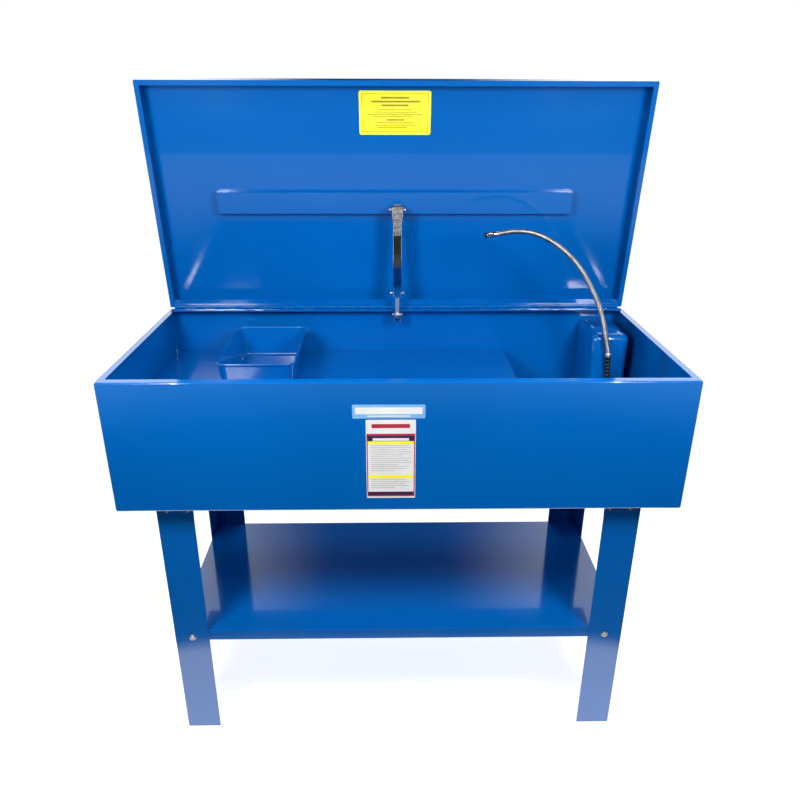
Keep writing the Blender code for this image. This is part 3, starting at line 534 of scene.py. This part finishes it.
class Route:
    """A smooth line through points, asked for a point or a place at a length along it."""

    def __init__(self, points):
        self.points = smooth_route(points)
        self.marks = [0.0]
        for a, b in zip(self.points, self.points[1:]):
            self.marks.append(self.marks[-1] + (b - a).length)
        self.total = self.marks[-1]

    def at(self, length):
        length = min(max(length, 0.0), self.total)
        i = next(k for k in range(1, len(self.marks)) if self.marks[k] >= length - 1e-12)
        share = (length - self.marks[i - 1]) / (self.marks[i] - self.marks[i - 1])
        return self.points[i - 1].lerp(self.points[i], share)

    def place(self, length):
        """A place on the line whose Z axis runs along it."""
        step = 0.002
        ahead = (self.at(length + step) - self.at(length - step)).normalized()
        across = Vector((0.0, 1.0, 0.0)).cross(ahead).normalized()
        upright = ahead.cross(across)
        turn = Matrix((across, upright, ahead)).transposed().to_4x4()
        return Matrix.Translation(self.at(length)) @ turn


def add_sweep(bm, route, profile, sides=24):
    """A round piece along the route: profile lists (length along the route, radius)."""
    add_loft(bm, [circle(route.place(length), radius, 0.0, sides) for length, radius in profile])


# ---------------------------------------------------------------- spout
def spout_route():
    y = centre("spout_gooseneck").y
    return Route([Vector((x, y, z)) for x, z in SPOUT_ROUTE])


def ribs(start, end, pitch, radius, groove, rib):
    """A ribbed profile: rib lists each rib's points as shares of the pitch and of the groove."""
    count = round((end - start) / pitch)
    profile = []
    for i in range(count):
        for share, drop in rib:
            profile.append((start + (end - start) * (i + share) / count, radius - groove * drop))
    profile.append((end, radius - groove))
    return profile


def make_gooseneck(route):
    """A metal hose of interlocked turns: a shallow groove between rounded ribs."""
    rib = ((0.0, 1.0), (0.16, 0.35), (0.36, 0.0), (0.64, 0.0), (0.84, 0.35))
    end = route.total - TIP_LENGTH - GAP
    bm = bmesh.new()
    add_sweep(bm, route, ribs(SLEEVE_END, end, 0.0033, SPOUT_R, 0.0008, rib))
    finish_piece(add_mesh("gooseneck_ribbed", bm, 60), "hose", "spout", ["spout_gooseneck"])


def make_ferrule(route):
    """The crimped ring where the metal hose leaves the rubber one."""
    r = SLEEVE_R
    low = SLEEVE_END - 0.0075
    profile = [(low, r - 0.0004), (low + 0.0006, r + 0.0016), (low + 0.0022, r + 0.0018),
               (low + 0.0030, r + 0.0012), (low + 0.0040, r + 0.0012), (low + 0.0048, r + 0.0018),
               (low + 0.0066, r + 0.0018), (low + 0.0078, r + 0.0010), (low + 0.0082, r - 0.0006)]
    bm = bmesh.new()
    add_sweep(bm, route, profile, 32)
    finish_piece(add_mesh("gooseneck_ferrule", bm), "zinc", "spout")


def make_sleeve(route):
    """The black ribbed hose below the metal one."""
    rib = ((0.0, 1.0), (0.10, 0.9), (0.20, 0.3), (0.32, 0.05), (0.5, 0.0), (0.68, 0.05), (0.80, 0.3),
           (0.90, 0.9))
    under_ferrule = SLEEVE_END - 0.0065
    bm = bmesh.new()
    add_sweep(bm, route, ribs(0.0, under_ferrule, 0.0098, SLEEVE_R, 0.0024, rib), 28)
    made = finish_piece(add_mesh("sleeve_ribbed", bm, 50), "rubber", None, ["spout_sleeve"])
    tuple(route.at(0.0))
    tuple(route.at(0.040))
    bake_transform(made)


def make_tip(route):
    """The smooth end piece, and its rounded mouth in black rubber, closed 3 mm inside by a black disc that
    is painted shade for the open bore.
    """
    r = SPOUT_R + 0.0008
    start = route.total - TIP_LENGTH
    end = route.total
    profile = [(start - GAP, r - 0.0012), (start + 0.0008, r - 0.0006), (start + 0.012, r - 0.0002),
               (end - 0.0048, r), (end - 0.0042, r - 0.0004)]
    bm = bmesh.new()
    add_sweep(bm, route, profile, 32)
    finish_piece(add_mesh("tip_tube", bm), "chrome", "spout", ["spout_tip"])
    # The mouth: a black lip curling inwards, ending in a black disc that paints the shade of the open
    # bore.
    cap = [(end - 0.0044, r - 0.0005), (end - 0.0036, r - 0.0001), (end - 0.0014, r - 0.0003),
           (end - 0.0004, r - 0.0012), (end, r - 0.0024), (end - 0.0004, r - 0.0034),
           (end - 0.0030, r - 0.0038)]
    bm = bmesh.new()
    add_sweep(bm, route, cap, 32)
    finish_piece(add_mesh("tip_mouth", bm), "rubber", "spout")


def make_collar():
    """The swivel nut under the spout: six flats with a turned shoulder."""
    low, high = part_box("spout_collar")
    middle = centre("spout_collar")
    place = Matrix.Translation((middle.x, middle.y, low.z))
    height = high.z - low.z
    bm = bmesh.new()
    add_hex(bm, 0.0188, (0.0, height * 0.68), place)
    add_turned(bm, [(0.0086, height * 0.66), (0.0086, height - 0.0008), (0.0078, height)], place)
    finish_piece(add_mesh("swivel_nut", bm), "brass", "spout_collar", ["spout_collar"])


# ---------------------------------------------------------------- fasteners
def add_hex(bm, flats, span, place, chamfer=0.0008):
    """A hexagon of that width across its flats, its corners chamfered at both ends."""
    radius = flats / math.sqrt(3)
    loops = []
    for height, corner in ((span[0], flats / 2), (span[0] + chamfer, radius),
                           (span[1] - chamfer, radius), (span[1], flats / 2)):
        ring = []
        for i in range(24):
            turn = 2 * math.pi * i / 24
            across = (turn % (math.pi / 3)) - math.pi / 6
            reach = min(flats / 2 / math.cos(across), corner + 0.0002)
            ring.append(place @ Vector((reach * math.cos(turn), reach * math.sin(turn), height)))
        loops.append(ring)
    add_loft(bm, loops)


def add_thread(bm, start, place):
    """The bolt's shank, with six turns of thread beyond start."""
    turn = 0.0009
    profile = [(THREAD_R, 0.0)]
    for i in range(6):
        profile.append((THREAD_R - 0.0004, start - turn * i))
        profile.append((THREAD_R, start - turn * (i + 0.5)))
    profile.append((THREAD_R - 0.0007, start - 0.0058))
    add_turned(bm, profile, place, 20)


def make_bolt(node):
    """Washer, chamfered hexagon head, and behind the sheets a washer, nut and thread."""
    low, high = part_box(node)
    front = "_front_" in node
    face = low.y if front else high.y
    out = -1.0 if front else 1.0
    place = along_y((centre(node).x, face - out * BOLT_HEAD, centre(node).z), out)
    behind = -0.0036 if node.endswith("_3") else -0.0034
    nut = behind - 0.0012
    nut_end = behind - 0.0074
    bm = bmesh.new()
    add_turned(bm, [(WASHER_R - 0.0004, 0.0), (WASHER_R, 0.0003), (WASHER_R, 0.0008),
                    (WASHER_R - 0.0004, 0.0011)], place)
    add_hex(bm, HEAD_FLATS, (0.0010, BOLT_HEAD - 0.0002), place)
    add_turned(bm, [(0.0042, BOLT_HEAD - 0.0003), (0.0040, BOLT_HEAD)], place, 24)
    add_turned(bm, [(WASHER_R - 0.0004, nut), (WASHER_R - 0.0004, behind)], place)
    add_hex(bm, NUT_FLATS, (nut_end, nut), place)
    add_thread(bm, nut_end + 0.0004, place)
    finish_piece(add_mesh(node.replace("bolt", "hex_bolt"), bm), "zinc", "root", [node])


def make_bolts():
    for node in sorted(frame["nodes"]):
        if node.startswith("bolt_"):
            make_bolt(node)


# ---------------------------------------------------------------- sheet-metal pieces
def make_basket():
    """The soak basket, deep drawn, with a rolled rim."""
    low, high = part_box("soak_basket")
    bead = 0.004
    taper = 0.006
    corner = 0.022
    bottom = 0.008
    wall_x = inset((low.x, high.x), bead)
    wall_y = inset((low.y, high.y), bead)

    def ring(by, z, radius):
        return rounded_rect(inset(wall_x, by), inset(wall_y, by), z, radius)

    loops = [ring(taper + bottom * by, low.z + bottom * up, corner) for by, up in quarter(6)]
    loops.append(ring(0.0, high.z - 2 * bead, corner))
    roll = bead / 2
    for i in range(10):
        turn = math.radians(-80 + 260 * i / 9)
        out = roll + roll * math.cos(turn)
        loops.append(ring(-out + 0.0002, high.z - roll + roll * math.sin(turn), corner + out))
    loops.append(ring(SHEET, high.z - roll, corner - SHEET))
    inner = bottom - SHEET
    for by, up in reversed(quarter(6)):
        loops.append(ring(taper + SHEET + inner * by, low.z + SHEET + inner * up, corner - SHEET))
    bm = bmesh.new()
    add_loft(bm, loops)
    finish_piece(add_mesh("basket_drawn", bm, 50), "paint", "basket", ["soak_basket"])


def make_cover():
    """The pump cover: a box with well-rounded edges, open below, with a slot and two holes."""
    low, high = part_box("pump_cover")
    corner = 0.015
    round_over = 0.018
    xs = (low.x, high.x)
    ys = (low.y, high.y)

    def ring(by, z, radius):
        return rounded_rect(inset(xs, by), inset(ys, by), z, radius)

    loops = [ring(round_over * by, high.z - round_over * up, corner) for by, up in quarter(8)]
    loops.append(ring(0.0, low.z, corner))
    loops.append(ring(SHEET, low.z, corner - SHEET))
    inner = round_over - SHEET
    for by, up in reversed(quarter(8)):
        loops.append(ring(SHEET + inner * by, high.z - SHEET - inner * up, corner - SHEET))
    bm = bmesh.new()
    add_loft(bm, loops)
    made = add_mesh("cover_drawn", bm, 50)
    elbow = centre("spout_elbow")
    stub_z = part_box("delivery_hose")[1].z - 0.0065
    gland = centre("cable_gland")
    slot = rounded(box_outline((-0.025, 0.025), (-0.03, 0.0265)), 0.006)
    slot_place = Matrix.Translation(((low.x + high.x) / 2, low.y, low.z)) @ turned_x(90)
    cutters = bmesh.new()
    add_turned(cutters, [(0.0066, -0.02), (0.0066, 0.02)], along_y((elbow.x, low.y, stub_z)))
    add_turned(cutters, [(0.0135, -0.01), (0.0135, 0.01)], along_y((gland.x, high.y, gland.z)))
    add_prism(cutters, slot, (-0.01, 0.01), slot_place)
    carve(made, cutters)
    made.data.shade_smooth()
    made.data.set_sharp_from_angle(angle=math.radians(50))
    finish_piece(made, "paint", "root", ["pump_cover"])


# ---------------------------------------------------------------- stay
def make_stay():
    top = centre("stay_upper_pin")
    foot = centre("stay_lower_pin")
    line = top - foot
    lean = turned_x(math.degrees(math.atan2(line.z, line.y)) - 90)
    upper = Matrix.Translation(top) @ lean
    lower = Matrix.Translation(foot) @ lean
    make_arm(upper)
    make_link(upper)
    make_rod(lower)
    make_pins(upper, lower)


def channel(width, wall, front, back):
    """A channel's outline, its web at front and its two walls reaching to back."""
    half = width / 2
    return [(-half, back), (-half, front), (half, front), (half, back), (half - wall, back),
            (half - wall, front + wall), (-half + wall, front + wall), (-half + wall, back)]


def make_arm(place):
    """The channel arm, its folds and its ends rounded."""
    outline = rounded(channel(0.022, 0.0018, -0.013, 0.010), 0.0022, 4)
    bm = bmesh.new()
    add_prism(bm, outline, (-0.220, -0.035), place, 0.0005)
    finish_piece(add_mesh("arm_channel", bm), "chrome", "stay_arm", ["stay_arm"])


def make_link(place):
    """The fusible link: a cast casing that narrows downwards, with screws in its face."""
    levels = (
        (0.008, 0.0275, -0.0162, 0.008),
        (0.002, 0.0275, -0.0162, 0.008),
        (-0.012, 0.0272, -0.0160, 0.008),
        (-0.020, 0.0255, -0.0159, 0.000),
        (-0.028, 0.0225, -0.0158, -0.0130),
        (-0.045, 0.0185, -0.0157, -0.0130),
        (-0.061, 0.0170, -0.0157, -0.0130),
        (-0.062, 0.0162, -0.0156, -0.0130))
    bm = bmesh.new()
    loops = []
    for height, width, front, back in levels:
        ring = rounded(channel(width, 0.0024, front, back), 0.0018, 3)
        loops.append([place @ Vector((p.x, p.y, height)) for p in ring])
    add_loft(bm, loops)
    finish_piece(add_mesh("link_casting", bm, 45), "link", "stay_arm", ["fusible_link"])
    bm = bmesh.new()
    for x, z in ((-0.0068, -0.006), (0.0068, -0.006), (-0.0064, -0.020), (0.0064, -0.020),
                 (-0.0044, -0.038), (0.0044, -0.038), (0.0, -0.053)):
        at = place @ Matrix.Translation((x, -0.0156, z)) @ turned_x(90)
        add_turned(bm, [(0.0032, -0.0004), (0.0032, 0.0009), (0.0025, 0.0017), (0.0010, 0.0020)], at, 20)
    finish_piece(add_mesh("link_screws", bm), "zinc", "stay_arm")


def make_rod(place):
    """The flat rod, rounded along its edges, with an eye at its foot."""
    bm = bmesh.new()
    half = 0.0020
    eye = 0.0055
    start = math.asin(half / eye)
    outline = [Vector((half, 0.190)), Vector((-half, 0.190))]
    for i in range(25):
        turn = math.pi / 2 + start + (2 * math.pi - 2 * start) * i / 24
        outline.append(Vector((eye * math.cos(turn), eye * math.sin(turn))))
    side = Matrix(((0, 0, 1, 0), (1, 0, 0, 0), (0, 1, 0, 0), (0, 0, 0, 1)))
    add_prism(bm, outline, (-0.00475, 0.00475), place @ side, 0.0007)
    finish_piece(add_mesh("rod_flat", bm), "bright", "stay_rod", ["stay_rod"])


def make_pins(upper, lower):
    """Pins across the stay, with a domed head at both ends."""
    guide = upper @ Matrix.Translation((0.0, 0.0065, -0.2145))
    for name, node, body, place, radius, head, reach in (
            ("pin_upper", "stay_upper_pin", "lid", upper, 0.0030, 0.0055, 0.022),
            ("pin_lower", "stay_lower_pin", "root", lower, 0.0025, 0.0045, 0.0137),
            ("pin_guide", "stay_guide_pin", "stay_arm", guide, 0.0022, 0.0040, 0.0185)):
        thick = reach * 0.19
        half = [(head * 0.45, reach), (head * 0.85, reach - thick * 0.25), (head, reach - thick * 0.6),
                (head, reach - thick), (radius, reach - thick)]
        profile = [(r, -z) for r, z in half] + [(r, z) for r, z in reversed(half)]
        bm = bmesh.new()
        add_turned(bm, profile, place @ Matrix.Rotation(math.radians(90), 4, "Y"), 28)
        finish_piece(add_mesh(name, bm), "zinc", body, [node])


# ---------------------------------------------------------------- labels
def lines(xs, first, pitch, height, lengths):
    """Boxes for blank lines down from first, a pitch apart; lengths are shares of the width."""
    width = xs[1] - xs[0]
    boxes = []
    for i, (start, end) in enumerate(lengths):
        top = first - pitch * i
        boxes.append(((xs[0] + width * start, xs[0] + width * end), (top - height, top)))
    return boxes


def make_label(name, body, place, parts):
    """A plate of thin layers: each part is (finish, boxes, (lower, upper) height, corner radius)."""
    for number, (finish, boxes, span, radius) in enumerate(parts):
        bm = bmesh.new()
        for xs, ys in boxes:
            add_prism(bm, rounded(box_outline(xs, ys), radius, 3), span, place)
        finish_piece(add_mesh(f"{name}_{number}_{finish}", bm), finish, body)


def make_lid_label():
    """A plain yellow plate inside the lid, with a thin border and blank lines."""
    face = LID_LIP_Z + LID_DEPTH - SHEET
    lid = Matrix.Translation(centre("hinge_pin")) @ turned_x(-LID_OPEN_DEGREES)
    place = lid @ Matrix.Translation((0.0, LID_BACK, face)) @ turned_x(180)
    xs = (-0.0925, 0.0810)
    ys = (0.4346, 0.534)
    edge = 0.0065
    thin = 0.0011
    ix = inset(xs, edge)
    iy = inset(ys, edge)
    border = [(ix, (iy[0], iy[0] + thin)), (ix, (iy[1] - thin, iy[1])),
              ((ix[0], ix[0] + thin), iy), ((ix[1] - thin, ix[1]), iy)]
    wide = inset(xs, 0.016)
    blank = []
    for down, pitch, height, lengths in (
            (0.0135, 0.0085, 0.0042, [(0.26, 0.74), (0.10, 0.93), (0.27, 0.73)]),
            (0.0415, 0.0052, 0.0018, [(0.22, 0.78), (0.16, 0.88), (0.04, 0.96), (0.12, 0.80)]),
            (0.0635, 0.0085, 0.0036, [(0.36, 0.66)]),
            (0.0710, 0.0052, 0.0018, [(0.18, 0.84), (0.14, 0.88), (0.20, 0.70)])):
        blank += lines(wide, ys[1] - down, pitch, height, lengths)
    make_label("lid_plate", body="lid", place=place, parts=[
        ("yellow", [(xs, ys)], (0.0, 0.0003), 0.005),
        ("ochre", border + blank, (0.0002, 0.00038), 0.0003)])


def make_front_labels():
    """A plain white plate with coloured bands, and a blank strip above it, on the tank's front."""
    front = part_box("tank_shell")[0].y
    place = Matrix.Translation((0.0, front, 0.0)) @ turned_x(90)
    xs = (-0.071, 0.032)
    zs = (0.693, 0.876)
    inner = inset(xs, 0.0035)
    body = inset(xs, 0.0095)
    blank = []
    for first, ends in (
            (0.8185, (0.95, 1.0, 0.9, 1.0, 0.97, 0.8, 1.0, 0.93, 1.0, 0.7, 0.96, 0.9, 0.6)),
            (0.7385, (0.9, 1.0, 0.85, 0.95, 0.6))):
        blank += lines(body, first, 0.0049, 0.0016, [(0.0, end) for end in ends])
    make_label("front_plate", body="root", place=place, parts=[
        ("white", [(xs, zs)], (0.0, 0.0003), 0.002),
        ("red", [(inset(xs, 0.0012), (0.697, 0.8445)), (inset(xs, 0.012), (0.8575, 0.8665))],
         (0.0002, 0.0004), 0.0005),
        ("navy", [(inner, (0.823, 0.8395)), (inner, (0.7005, 0.7070))], (0.0003, 0.0005), 0.0003),
        ("white", [(inner, (0.7085, 0.8215)), (inset(xs, 0.014), (0.8285, 0.8345))],
         (0.0003, 0.00054), 0.0003),
        ("yellow", [(inner, (0.8205, 0.8275)), (inner, (0.7410, 0.7485))], (0.0004, 0.0006), 0.0003),
        ("grey", blank, (0.0004, 0.00062), 0.0002)])
    strip_x = (-0.098, 0.051)
    strip_z = (0.879, 0.9095)
    make_label("front_strip", body="root", place=place, parts=[
        ("sky", [(strip_x, strip_z)], (0.0, 0.0003), 0.003),
        ("white", [(inset(strip_x, 0.006), (0.8885, 0.9035)), (inset(strip_x, 0.03), (0.8830, 0.8855))],
         (0.0002, 0.0004), 0.0015)])


# ---------------------------------------------------------------- the CAD's own pieces
def paint_nodes():
    """Gives every CAD node that stays visible the material of its slot in the record."""
    slots = {row["node"]: row["material_slot"] for row in frame["record"]["subparts"]}
    for name, node in frame["nodes"].items():
        node.data.materials.clear()
        node.data.materials.append(MATERIALS[slots[name]])


def main():
    make_camera()
    make_lights()
    make_world()
    make_floor()
    paint_nodes()
    route = spout_route()
    make_gooseneck(route)
    make_ferrule(route)
    make_sleeve(route)
    make_tip(route)
    make_collar()
    make_bolts()
    make_basket()
    make_cover()
    make_stay()
    make_lid_label()
    make_front_labels()


bpy.context.scene.view_settings.view_transform = "Standard"
MATERIALS = make_materials()
main()
